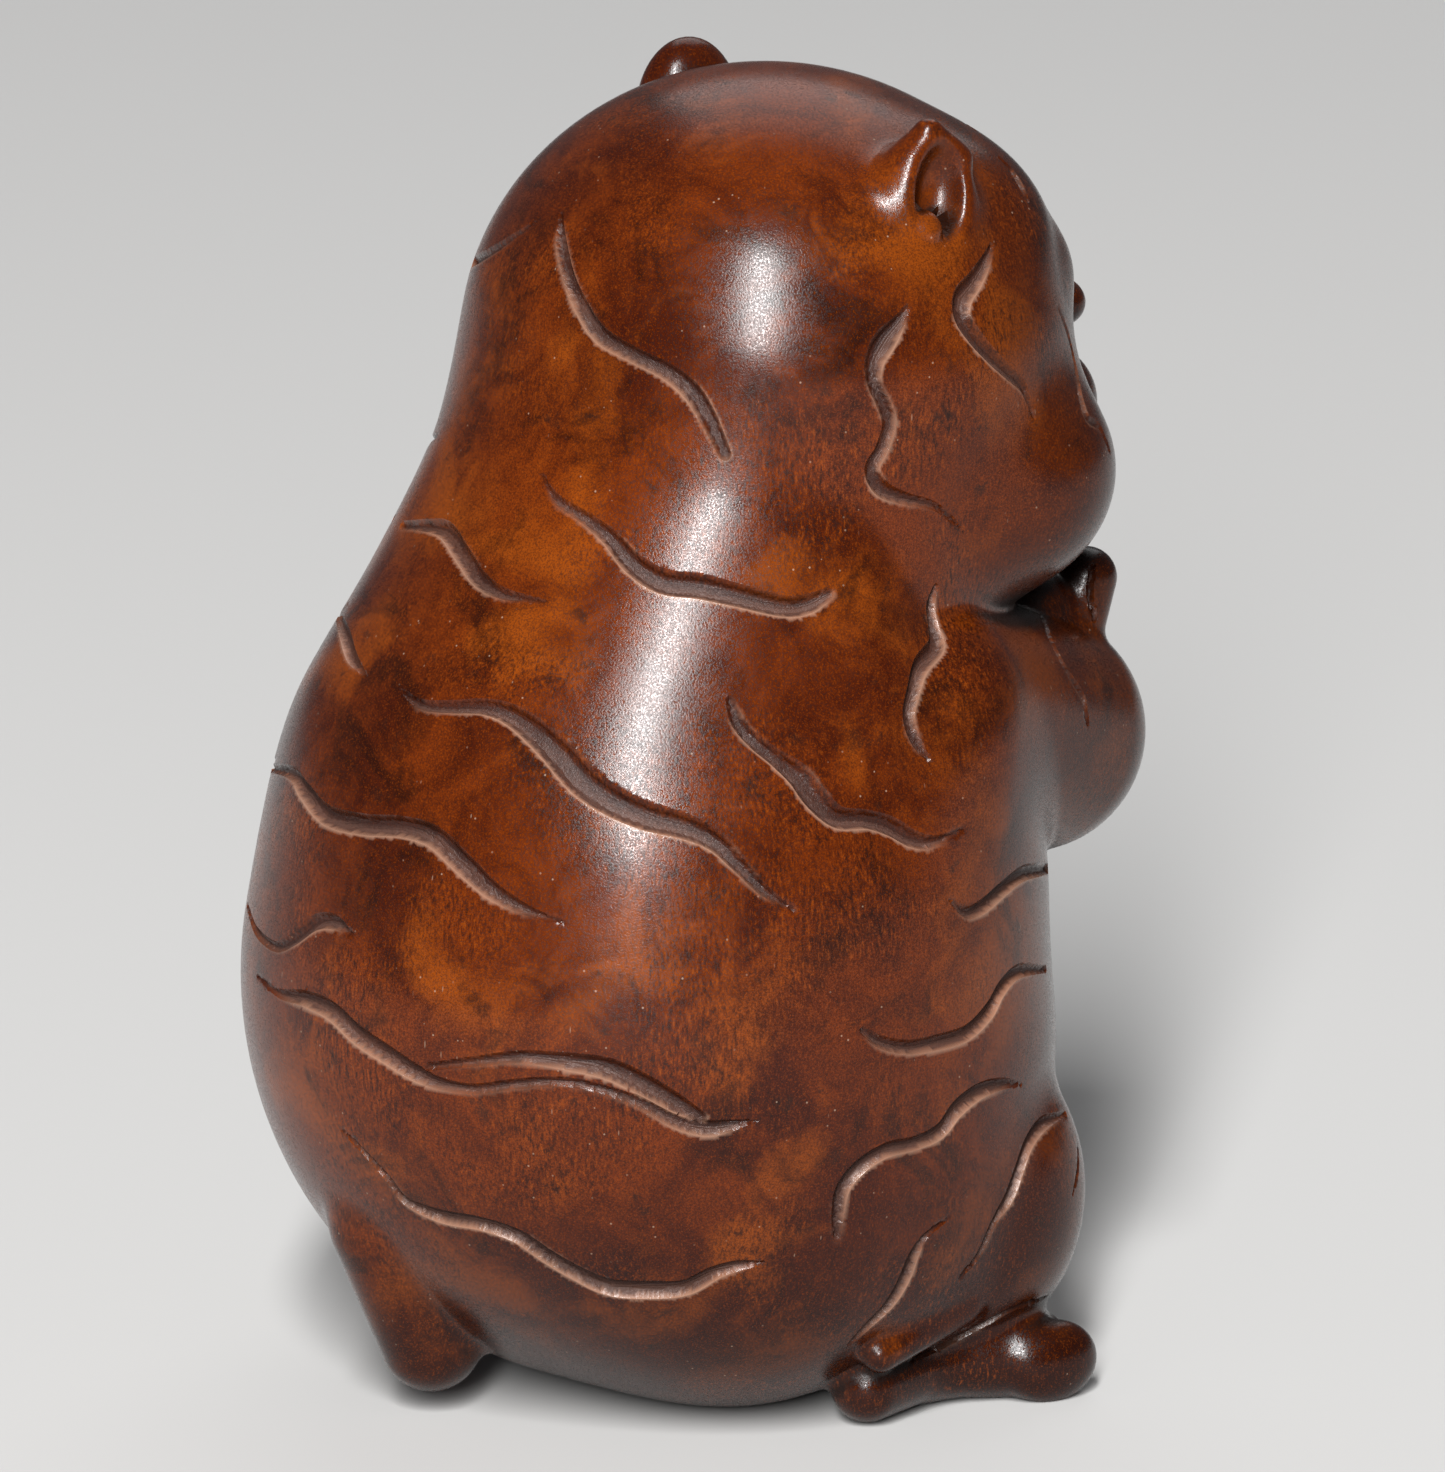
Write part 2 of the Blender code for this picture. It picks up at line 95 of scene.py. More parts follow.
FOREARM = limb((9.2, -4.5, 28.4), (4.6, -13.2, 25.5), 4.6, 4.95)
THIGH = ball((8.6, -6.2, 8.3), (5.4, 6.2, 7.0), lean=-10)
SHIN = limb((12.9, -0.4, 3.3), (12.5, -4.6, 4.5), 0.75, 0.8, blend=0.5)
HEEL = limb((11.3, -0.9, 1.5), (10.3, -4.6, 1.6), 1.45, 1.4, blend=0.6)
FOOT = limb((10.3, -4.6, 1.6), (11.0, -7.8, 1.9), 1.4, 2.1, blend=0.7)

FOREPAW_TOES = 3
FOREPAW_TOE = limb((1.4, -15.0, 29.6), (1.4, -15.7, 31.7), 1.3, 1.25, blend=0.5)
FOREPAW_TOE_STEP = 2.0
FOREPAW_HEEL = ball((4.9, -13.2, 30.4), (1.7, 2.1, 1.9), blend=0.4)
HIND_TOES = 3
HIND_TOE = ball((9.2, -9.0, 1.5), (1.25, 2.1, 1.7), blend=0.5)
HIND_TOE_STEP = 1.7

# How crisply a mass meets the body: sharp in front, melting away behind
FOREARM_MEETS = {"front": -13.0, "back": -4.0, "crisp": 0.6, "soft": 4.5}
THIGH_MEETS = {"front": -9.0, "back": -1.0, "crisp": 0.7, "soft": 3.8}
HEAD_MEETS = {"front": -4.5, "back": 0.8, "crisp": 0.4, "soft": 5.0}


def size(vectors):
    """The length of each row."""
    return np.sqrt(np.einsum("ij,ij->i", vectors, vectors))


def lean_matrix(degrees):
    """Turn about X that tips a vertical forward, towards -Y."""
    c, s = np.cos(np.radians(degrees)), np.sin(np.radians(degrees))
    return np.array([[1, 0, 0], [0, c, -s], [0, s, c]])


def distance_to(mass, points):
    """Distance from each point to one mass, negative inside it.

    For a ball it is k (k - 1) / g, with k the length of the offset over the radii and g that of
    the offset over their squares. For a limb it is the distance to its axis less its radius there.
    """
    if "start" in mass:
        start, end = np.array(mass["start"], float), np.array(mass["end"], float)
        axis = end - start
        along = np.clip((points - start) @ axis / (axis @ axis), 0, 1)
        radius = mass["radii"][0] + (mass["radii"][1] - mass["radii"][0]) * along
        return size(points - start - along[:, None] * axis) - radius
    offset = (points - np.array(mass["centre"], float)) @ lean_matrix(mass["lean"])
    radii = np.array(mass["radii"], float)
    k = size(offset / radii)
    return k * (k - 1) / (size(offset / radii ** 2) + 1e-9)


def melt(first, second, blend):
    """The nearer of two distances, rounded over where they differ by less than blend."""
    share = np.clip(0.5 + 0.5 * (second - first) / blend, 0, 1)
    return second + (first - second) * share - blend * share * (1 - share)


def ease(value, start, end):
    """0 before start, 1 after end, and a smooth step between."""
    t = np.clip((value - start) / (end - start), 0, 1)
    return t * t * (3 - 2 * t)


def meeting(y, meets):
    """The blend at depth y for a mass that meets the body crisply in front and softly behind."""
    return meets["crisp"] + (meets["soft"] - meets["crisp"]) * ease(y, meets["front"], meets["back"])


def group(masses, points):
    """Distance from each point to several masses melted together, each by its own blend."""
    total = distance_to(masses[0], points)
    for mass in masses[1:]:
        total = melt(total, distance_to(mass, points), mass["blend"])
    return total


def moved(mass, step):
    """The same mass, moved by step."""
    copy = dict(mass)
    for key in ("centre", "start", "end"):
        if key in mass:
            copy[key] = tuple(a + b for a, b in zip(mass[key], step))
    return copy


FOREPAWS = [moved(FOREPAW_TOE, (i * FOREPAW_TOE_STEP, 0, 0)) for i in range(FOREPAW_TOES)]
FOREPAWS.append(FOREPAW_HEEL)
HIND_FOOT = [HEEL, FOOT] + [moved(HIND_TOE, (i * HIND_TOE_STEP, 0, 0)) for i in range(HIND_TOES)]


def form(points):
    """Distance from each point to the uncarved cat, in design units, negative inside."""
    both = np.column_stack([np.abs(points[:, 0]), points[:, 1:]])
    y = both[:, 1]
    body = group(TORSO, both)
    body = melt(body, distance_to(FOREARM, both), meeting(y, FOREARM_MEETS))
    body = melt(body, distance_to(THIGH, both), meeting(y, THIGH_MEETS))
    body = melt(body, distance_to(SHIN, both), SHIN["blend"])
    body = melt(body, group(HIND_FOOT, both), HEEL["blend"])
    body = melt(body, group(FOREPAWS, both), FOREPAW_TOE["blend"])
    whole = melt(body, group(HEAD, both), meeting(y, HEAD_MEETS))
    for side, ear in EARS.items():
        ear_points = (points - ear["shift"]) * (side, 1, 1)
        whole = melt(whole, group([EAR_LEAF, ear["tip"], ear["fold"]], ear_points), EAR_LEAF["blend"])
        whole = -melt(-whole, distance_to(EAR_HOLLOW, ear_points), EAR_HOLLOW["blend"])
        whole = melt(whole, distance_to(EAR_BOSS, ear_points), EAR_BOSS["blend"])
    return whole


def slope(points, reach=0.02):
    """Unit normals of the form, from its values at the corners of a small tetrahedron."""
    corners = np.array([(1, -1, -1), (-1, -1, 1), (-1, 1, -1), (1, 1, 1)], float)
    normal = sum(form(points + reach * corner)[:, None] * corner for corner in corners)
    return normal / size(normal)[:, None]


# The stripes and other cut lines
# Cut into the rounded wood with a gouge and a punch. Polishing has rolled over the upper shoulder
# of each stripe, its lower lip is crisp, and its floor is left matt and pricked.

VIEWS = {
    "flank": {"turn": 34.0, "rise": 13.0},     # from behind the cat's right shoulder
    "face": {"turn": -90.0, "rise": 0.0},      # from straight in front
}
VIEW_DISTANCE = 400.0      # of the eye, in millimetres
VIEW_CENTRE = (1.3, 25.4)  # to the right of and above the middle of the base
CURVE_SAMPLES = 10         # thrown onto the form for each span between two points of a line
LINE_SPACING = 0.1         # between the samples of a cut line
BITE = 0.42                # depth for each unit of width
DEEPEST = 0.38             # of any cut
LEFTNESS = 0.5             # of the rolled side's direction in the view, against 1 upwards
CRISP_WALL = 0.4           # shares of the half width
ROLLED_WALL = 0.75
NUDGE = 0.077              # how far a point may slip sideways to lie on the lip of a cut
NO_CUT = 1.0               # distance to a lip where there is no cut near
KEPT_FINE = 0.3            # within this of a lip the skin isn't thinned
NARROWEST_HALF = 0.05
ROLL_TURNS = (-0.35, 0.45)  # cosines with the rolled side's direction, where crisp turns to rolled
MATT_FROM = 0.05           # way in from the crisp lip to where the floor starts to turn matt
MATT_FROM_ROLLED = 0.60    # and from the rolled one
MATT_FADE = 0.4
MATT_HALVES = (0.08, 0.25)  # half widths over which a cut gains room for a matt floor
WALL_FADE = (0.05, 0.7)
LIP_GLINT = 0.07           # width of the worn edge and its painted glint along a lower lip
GLINT_HALVES = (0.15, 0.4)  # half widths over which a cut gains a worn edge with a painted glint


RIGHT, LEFT, BOTH = (-1,), (1,), (-1, 1)


def line(points, view="flank", sides=RIGHT, bite=BITE):
    """A cut line. Its points are drawn flat in a view: millimetres to the right of and above the
    middle of the base there, and the width. Side -1 is the cat's right, and 1 its mirrored left."""
    return {"points": points, "view": view, "sides": sides, "bite": bite}


def even_width(width, points):
    """The same width all along, but narrow at both ends."""
    ends = (0.25 * width,)
    return [points[0] + ends] + [point + (width,) for point in points[1:-1]] + [points[-1] + ends]


LINES = [
    # Down the back and the right flank
    line([(-5.3, 46.7, 0.20), (-5.3, 45.6, 0.57), (-5.0, 44.2, 0.61), (-4.5, 43.0, 0.69),
          (-3.7, 41.8, 0.73), (-2.4, 41.0, 0.65), (-1.0, 40.3, 0.69), (0.0, 39.5, 0.78),
          (0.7, 38.4, 0.73), (1.4, 36.9, 0.53)]),
    line([(-6.1, 36.1, 0.16), (-5.5, 35.1, 0.41), (-4.3, 34.3, 0.53), (-3.3, 33.5, 0.69),
          (-2.3, 32.4, 0.90), (-1.1, 31.7, 1.02), (0.4, 31.5, 1.02), (2.1, 31.1, 0.94),
          (3.8, 30.7, 0.86), (4.8, 30.8, 0.80), (5.6, 31.2, 0.53)]),
    line([(-11.8, 34.0, 0.41), (-10.8, 34.0, 0.57), (-10.0, 33.8, 0.78), (-9.3, 32.8, 0.78),
          (-8.6, 31.8, 0.69), (-7.6, 31.2, 0.49), (-5.9, 30.9, 0.16)]),
    line([(-14.4, 30.4, 0.41), (-14.1, 29.5, 0.65), (-13.8, 28.6, 0.57), (-13.2, 27.8, 0.12)]),
    line([(-11.8, 27.3, 0.16), (-11.0, 26.7, 0.45), (-9.8, 26.6, 0.57), (-8.4, 26.6, 0.69),
          (-7.2, 26.2, 0.90), (-5.8, 25.1, 1.18), (-4.4, 23.6, 1.31), (-3.1, 22.7, 1.22),
          (-1.7, 22.1, 1.14), (-0.2, 21.7, 1.02), (1.0, 21.1, 0.82), (2.0, 20.1, 0.61),
          (3.0, 19.1, 0.49), (4.2, 18.3, 0.20)]),
    line([(-17.2, 24.1, 0.33), (-16.3, 23.9, 0.57), (-15.8, 23.2, 0.82), (-14.9, 22.2, 0.86),
          (-13.4, 21.8, 0.86), (-11.8, 21.7, 0.86), (-10.5, 21.3, 0.90), (-9.3, 20.2, 0.90),
          (-8.1, 19.1, 0.73), (-6.7, 18.3, 0.45), (-5.2, 17.8, 0.16)]),
    line([(-18.1, 18.5, 0.24), (-17.7, 17.4, 0.41), (-16.9, 16.8, 0.45), (-16.1, 17.2, 0.61),
          (-15.3, 17.8, 0.69), (-14.5, 17.8, 0.61), (-13.8, 17.3, 0.16)]),
    line([(-17.7, 15.6, 0.16), (-16.8, 14.9, 0.41), (-15.8, 14.7, 0.69), (-14.7, 14.2, 0.86),
          (-13.6, 13.2, 0.90), (-12.4, 12.4, 0.86), (-11.3, 11.7, 0.78), (-10.2, 11.2, 0.57),
          (-8.8, 11.0, 0.45), (-7.1, 11.2, 0.45), (-5.3, 11.3, 0.41), (-3.7, 11.0, 0.41),
          (-2.0, 10.4, 0.49), (-0.6, 9.7, 0.65), (0.6, 9.4, 0.73), (1.6, 9.5, 0.53),
          (2.6, 9.7, 0.16)]),
    line([(-10.8, 11.9, 0.33), (-9.0, 12.1, 0.41), (-6.9, 12.3, 0.53), (-4.9, 12.1, 0.73),
          (-3.3, 11.8, 0.90), (-1.8, 11.1, 0.90), (-0.6, 10.4, 0.82), (0.4, 9.8, 0.57)]),
    line([(-14.2, 9.3, 0.16), (-13.5, 8.6, 0.33), (-12.4, 7.4, 0.41), (-11.6, 6.4, 0.53),
          (-10.2, 5.8, 0.73), (-8.6, 5.5, 0.73), (-7.1, 5.0, 0.78), (-5.9, 4.2, 0.82),
          (-4.7, 3.5, 0.86), (-3.3, 2.9, 0.98), (-1.6, 2.8, 0.98), (-0.2, 2.9, 0.82),
          (1.0, 3.5, 0.69), (2.0, 3.8, 0.53), (3.0, 3.9, 0.20)]),
    line([(-9.0, 44.7, 0.57), (-8.1, 45.2, 0.49), (-7.2, 45.8, 0.37), (-6.2, 46.5, 0.12)]),
    # Across the back to the far side
    line(even_width(0.75, [(-1.2, 42.3), (1.4, 40.9), (4.2, 40.6), (6.2, 39.4)]), sides=LEFT),
    line(even_width(0.9, [(-4.4, 35.9), (-1.2, 34.4), (2.2, 34.0), (5.4, 32.4), (7.2, 32.0)]), sides=LEFT),
    line(even_width(1.0, [(-4.4, 31.9), (-1.0, 29.9), (2.8, 29.2), (6.0, 27.3), (8.2, 27.2)]), sides=LEFT),
    line(even_width(0.9, [(-6.4, 28.3), (-3.4, 26.0), (0.2, 24.8), (3.4, 22.6), (5.4, 22.3)]), sides=LEFT),
    line(even_width(1.1, [(-8.2, 21.3), (-4.6, 19.4), (-0.8, 18.9), (3.0, 17.2), (5.6, 17.4)]), sides=LEFT),
    line(even_width(0.9, [(-8.4, 16.0), (-4.8, 14.6), (-1.0, 13.6), (3.0, 13.9), (5.4, 12.6)]), sides=LEFT),
    line(even_width(1.0, [(-8.6, 7.5), (-4.8, 6.6), (-0.6, 7.4), (3.2, 6.0), (5.4, 5.0)]), sides=LEFT),
    # Forelegs, breast, haunch and cheeks, alike on both sides
    line([(1.6, 26.9, 0.37), (1.9, 26.0, 0.57), (2.6, 25.2, 0.65), (3.5, 24.5, 0.73),
          (4.4, 23.8, 1.02), (5.1, 22.9, 1.10), (6.0, 22.1, 0.94), (7.2, 22.0, 0.78),
          (8.2, 21.7, 0.82), (9.1, 21.2, 0.73), (10.0, 21.1, 0.49), (11.3, 21.7, 0.12)], sides=BOTH),
    line([(10.0, 31.5, 0.33), (9.8, 30.7, 0.61), (9.9, 29.9, 0.69), (10.0, 29.1, 0.78),
          (9.4, 28.3, 0.82), (9.1, 27.3, 0.69), (8.9, 26.2, 0.61), (9.2, 25.2, 0.53),
          (9.8, 24.3, 0.16)], sides=BOTH),
    line([(14.3, 30.3, 0.16), (14.8, 29.1, 0.33), (15.4, 28.0, 0.41), (16.0, 27.0, 0.45),
          (16.2, 25.9, 0.24)], sides=BOTH),
    line([(8.9, 43.0, 0.16), (8.5, 42.3, 0.57), (7.9, 41.5, 0.98), (7.5, 40.7, 0.82),
          (7.5, 39.8, 0.61), (7.9, 38.9, 0.61), (8.1, 38.1, 0.61), (7.8, 37.1, 0.61),
          (7.4, 36.3, 0.65), (7.8, 35.5, 0.69), (8.7, 35.1, 0.53), (9.9, 34.8, 0.37),
          (10.7, 34.2, 0.24), (11.2, 33.6, 0.12)], sides=BOTH),
    line([(12.3, 45.4, 0.29), (12.0, 44.7, 0.57), (11.6, 44.0, 0.78), (11.1, 43.3, 0.94),
          (11.1, 42.5, 0.86), (11.6, 41.7, 0.78), (12.3, 40.9, 0.69), (13.0, 40.2, 0.57),
          (13.6, 39.6, 0.49), (14.0, 38.4, 0.20)], sides=BOTH),
    line([(10.6, 18.7, 0.20), (11.3, 18.2, 0.53), (12.0, 18.5, 0.69), (12.8, 19.2, 0.73),
          (13.6, 19.8, 0.69), (14.6, 20.0, 0.49)], sides=BOTH),
    line([(7.0, 13.4, 0.33), (7.8, 12.9, 0.53), (8.9, 12.7, 0.61), (10.1, 12.9, 0.69),
          (11.3, 13.3, 0.73), (12.2, 14.2, 0.82), (12.7, 15.1, 0.78), (13.4, 15.8, 0.65),
          (14.5, 15.9, 0.33)], sides=BOTH),
    line([(6.0, 4.9, 0.37), (6.0, 5.8, 0.57), (6.2, 6.9, 0.69), (6.9, 7.8, 0.73), (8.0, 8.5, 0.69),
          (9.2, 8.8, 0.65), (10.2, 9.3, 0.78), (10.9, 10.2, 0.90), (11.8, 10.9, 0.78),
          (12.7, 11.2, 0.53), (13.5, 11.2, 0.16)], sides=BOTH),
    line([(11.0, 3.3, 0.16), (11.8, 4.3, 0.41), (12.4, 5.6, 0.45), (13.0, 6.6, 0.69),
          (13.4, 7.7, 0.69), (13.8, 8.8, 0.69), (14.4, 9.6, 0.61), (15.3, 10.0, 0.24)], sides=BOTH),
    line([(6.5, 0.6, 0.33), (7.2, 1.3, 0.53), (8.1, 2.2, 0.65), (8.7, 3.2, 0.69), (9.1, 4.2, 0.61),
          (9.6, 5.0, 0.37), (10.6, 5.8, 0.12)], sides=BOTH),
    line([(15.8, 8.7, 0.12), (15.8, 7.7, 0.29), (15.6, 6.7, 0.12)], sides=BOTH),
    line([(15.0, 42.9, 0.16), (15.4, 41.8, 0.37), (15.7, 40.5, 0.41), (15.9, 39.3, 0.45),
          (16.2, 38.4, 0.49), (16.7, 38.0, 0.41), (17.1, 37.0, 0.20)], sides=BOTH),
    # Under the thigh, and between the forepaw and its outer toe
    line([(14.5, 2.5, 0.15), (13.1, 2.0, 0.35), (11.6, 1.2, 0.45), (10.2, 0.5, 0.4), (8.9, -0.1, 0.15)],
         sides=BOTH, bite=0.7),
    line([(16.4, 32.4, 0.2), (16.3, 31.3, 0.35), (16.5, 30.1, 0.2)], sides=BOTH, bite=0.7),
    # At the temples
    line([(8.8, 52.0, 0.12), (9.8, 51.45, 0.3), (10.8, 50.75, 0.3), (11.8, 49.95, 0.12)]),
    line([(12.4, 49.2, 0.12), (13.0, 48.6, 0.35), (13.4, 48.0, 0.45), (13.75, 47.3, 0.3)], sides=BOTH),
    # Across the forehead
    line(even_width(0.6, [(-4.2, 51.6), (-2.0, 51.2), (0.0, 51.6), (2.0, 51.2), (4.2, 51.6)]), "face"),
    line(even_width(0.7, [(-4.8, 50.0), (-2.2, 49.4), (0.0, 49.9), (2.2, 49.4), (4.8, 50.0)]), "face"),
    line(even_width(0.7, [(-5.4, 48.2), (-2.4, 47.0), (0.0, 47.6), (2.4, 47.0), (5.4, 48.2)]), "face"),
    # Closed eyes and mouth
    line(even_width(0.7, [(3.1, 44.0), (4.3, 43.3), (6.0, 43.3), (7.4, 44.3)]), "face", BOTH, 0.6),
    line(even_width(0.6, [(0.1, 40.8), (0.0, 38.8), (1.3, 37.7), (3.4, 37.9)]), "face", BOTH, 0.6),
]


def smooth_curve(points, samples):
    """Rows along a Catmull-Rom curve through the given rows, samples to each span."""
    points = np.array(points, float)
    ends = np.vstack([2 * points[0] - points[1], points, 2 * points[-1] - points[-2]])
    t = np.linspace(0, 1, samples, endpoint=False)[:, None]
    spans = []
    for a, b, c, d in zip(ends, ends[1:], ends[2:], ends[3:]):
        spans.append(0.5 * (2 * b + (c - a) * t + (2 * a - 5 * b + 4 * c - d) * t ** 2
                            + (3 * b - a - 3 * c + d) * t ** 3))
    return np.vstack(spans + [points[-1:]])


def view_axes(turn, rise):
    """Unit vectors to the right, upwards and back to the eye, for a view turned and raised by degrees."""
    turn, rise = np.radians(turn), np.radians(rise)
    right = np.array([-np.sin(turn), -np.cos(turn), 0.0])
    back = np.array([-np.cos(turn) * np.cos(rise), np.sin(turn) * np.cos(rise), np.sin(rise)])
    return right, np.cross(back, right), back


def thrown_onto_form(flat, view):
    """Where sight lines through the points of a view first meet the form, and which of them do."""
    right, up, back = view_axes(**VIEWS[view])
    eye = VIEW_CENTRE[0] * right + VIEW_CENTRE[1] * up + VIEW_DISTANCE * back
    sight = flat[:, :1] * right + flat[:, 1:] * up - eye
    sight /= size(sight)[:, None]
    start_short, march_steps, caution, touching = 36.0, 60, 0.85, 0.1
    travelled = np.full(len(flat), VIEW_DISTANCE - start_short)
    for _ in range(march_steps):
        travelled += caution * np.maximum(form(eye + travelled[:, None] * sight), 0)
    met = eye + travelled[:, None] * sight
    return met, form(met) < touching


def cut_path(mark):
    """Samples of one line on the form, spaced evenly along it, and the half width at each."""
    drawn = smooth_curve(mark["points"], CURVE_SAMPLES)
    path, met = thrown_onto_form(drawn[:, :2], mark["view"])
    rows = np.column_stack([path, drawn[:, 2] / 2])[met]
    length = np.concatenate([[0], np.cumsum(size(np.diff(rows[:, :3], axis=0)))])
    even = np.linspace(0, length[-1], max(int(length[-1] / LINE_SPACING), 3))
    rows = np.column_stack([np.interp(even, length, column) for column in rows.T])
    return rows[:, :3], np.maximum(rows[:, 3], NARROWEST_HALF)


CUTS = []                  # the path, half widths, bite and rolled side's direction of each cut
for mark in LINES:
    right, up, _ = view_axes(**VIEWS[mark["view"]])
    rolled_way = (up - LEFTNESS * right) / np.hypot(1, LEFTNESS)
    path, half = cut_path(mark)
    for side in mark["sides"]:
        CUTS.append((path * (-side, 1, 1), half, mark["bite"], rolled_way * (-side, 1, 1)))


def beside(points, cut):
    """For the points by a cut: which they are, the half width and offset there, and the wall's share.

    The wall is wide on the side that polishing has rolled over and narrow on the crisp one."""
    path, half, _, rolled_way = cut
    reach = half.max() + KEPT_FINE
    near = np.nonzero(((points > path.min(axis=0) - reach)
                       & (points < path.max(axis=0) + reach)).all(axis=1))[0]
    nearest = ((path ** 2).sum(axis=1) - 2 * points[near] @ path.T).argmin(axis=1)
    offset = points[near] - path[nearest]
    away = size(offset) + 1e-9
    rolled = ease(offset @ rolled_way / away, *ROLL_TURNS)
    wall = CRISP_WALL + (ROLLED_WALL - CRISP_WALL) * rolled
    return near, half[nearest], offset, away, rolled, wall


def slipped_to_lips(points):
    """Points close to the lip of a cut slip sideways onto it, to keep it crisp."""
    points = points.copy()
    for cut in CUTS:
        near, half, offset, away, _, _ = beside(points, cut)
        gap = away - half
        slip = np.where((np.abs(gap) < NUDGE) & (half > 2 * NUDGE), gap, 0)
        points[near] -= (slip / away)[:, None] * offset
    return points


def beyond_lip(points):
    """Distance from each point to the nearest lip of a cut, negative within the cut."""
    nearest = np.full(len(points), NO_CUT)
    for cut in CUTS:
        near, half, _, away, _, _ = beside(points, cut)
        nearest[near] = np.minimum(nearest[near], away - half)
    return nearest


def cut_into(points):
    """Depth of the cuts under points of the rounded form, with masks of their floors, walls and worn
    lips with a painted glint, and 1 at a cut's rolled side to 0 at its crisp one.

    With q the way in from the lip to the wall's foot, the depth follows the smooth step of q on
    the rolled side, and q itself on the crisp side, which drops at once.
    """
    depth, floor, walls, glint, upper = np.zeros((5, len(points)))
    for cut in CUTS:
        near, half, offset, away, rolled, wall = beside(points, cut)
        q = np.clip((1 - away / half) / wall, 0, 1)
        full = np.minimum(cut[2] * 2 * half, DEEPEST)
        profile = rolled * q ** 2 * (3 - 2 * q) + (1 - rolled) * q
        depth[near] = np.maximum(depth[near], full * profile)
        matt_from = MATT_FROM + (MATT_FROM_ROLLED - MATT_FROM) * rolled
        matt = ease(q, matt_from, matt_from + MATT_FADE) * ease(half, *MATT_HALVES)
        floor[near] = np.maximum(floor[near], matt)
        walls[near] = np.maximum(walls[near], ease(q, *WALL_FADE))
        lip = np.clip(1 - np.abs(away - half) / LIP_GLINT, 0, 1) * (1 - rolled)
        glint[near] = np.maximum(glint[near], lip * ease(half, *GLINT_HALVES))
        across = 0.5 + 0.5 * np.clip(offset @ cut[3] / half, -1, 1)
        upper[near] = np.where(q > 0, across, upper[near])
    return depth, floor, walls * (1 - floor), glint * (1 - floor), upper


# The skin
# The finished surface of the wood, from the sawn-flat underside to the ear tips. The rounded
# masses become one skin, which is drawn onto the form, cut, and thinned where it is plain.

ROUGH_VOXEL = 0.6
MIDDLE_VOXEL = 0.3
FINE_VOXEL = 0.14
LONGEST_PULL = 0.5
THINNEST_FACE = 0.12       # least area of a triangle over that of a voxel's side
SHARP_ANGLE = 32.0
SKIN_TRIANGLES = 194000
SHELTER_REACHES = (0.8, 1.8, 3.5)
ABOVE_GROUND = 0.05        # the sawn underside below this has no cuts or painted shade


def add_mass(mesh, mass, shift=(0, 0, 0), side=1):
    """Add a mass's own ball, or the hull of a limb's two end balls, to the rough shape."""
    facets = {"u_segments": 24, "v_segments": 16, "radius": 1.0}
    mirror = Matrix.Translation(Vector(shift)) @ Matrix.Diagonal((side, 1, 1, 1))
    if "start" in mass:
        verts = []
        for end, radius in zip((mass["start"], mass["end"]), mass["radii"]):
            place = mirror @ Matrix.Translation(end) @ Matrix.Scale(radius, 4)
            verts += bmesh.ops.create_uvsphere(mesh, matrix=place, **facets)["verts"]
        hull = bmesh.ops.convex_hull(mesh, input=verts)
        spare = {item for key in ("geom_interior", "geom_unused") for item in hull[key]}
        bmesh.ops.delete(mesh, geom=[v for v in spare if isinstance(v, bmesh.types.BMVert)])
        return
    lean = Matrix(lean_matrix(mass["lean"]).tolist()).to_4x4()
    place = mirror @ Matrix.Translation(mass["centre"]) @ lean @ Matrix.Diagonal((*mass["radii"], 1))
    bmesh.ops.create_uvsphere(mesh, matrix=place, **facets)


def rough_shape():
    """All the masses as one overlapping mesh."""
    mesh = bmesh.new()
    for mass in TORSO + HEAD + [FOREARM, THIGH, SHIN] + HIND_FOOT + FOREPAWS:
        for side in (-1, 1):
            add_mass(mesh, mass, side=side)
    for side, ear in EARS.items():
        for mass in (EAR_LEAF, ear["tip"], ear["fold"]):
            add_mass(mesh, mass, ear["shift"], side)
    bmesh.ops.recalc_face_normals(mesh, faces=mesh.faces)
    data = bpy.data.meshes.new("cat")
    mesh.to_mesh(data)
    mesh.free()
    return data


def applied(thing, kind, **settings):
    """Apply one modifier of the given kind to an object."""
    modifier = thing.modifiers.new(kind.title(), kind)
    for name, value in settings.items():
        setattr(modifier, name, value)
    finished = bpy.data.meshes.new_from_object(
        thing.evaluated_get(bpy.context.evaluated_depsgraph_get()))
    thing.modifiers.clear()
    old, thing.data = thing.data, finished
    bpy.data.meshes.remove(old)


def read_points(mesh):
    """The places of a mesh's points."""
    flat = np.empty(len(mesh.vertices) * 3, np.float32)
    mesh.vertices.foreach_get("co", flat)
    return flat.reshape(-1, 3).astype(float)


def drawn_onto_form(points, steps):
    """Each step moves a point against the form's slope by its distance to the form."""
    for _ in range(steps):
        away = slope(points)
        points = points - np.clip(form(points), -LONGEST_PULL, LONGEST_PULL)[:, None] * away
    return points, away


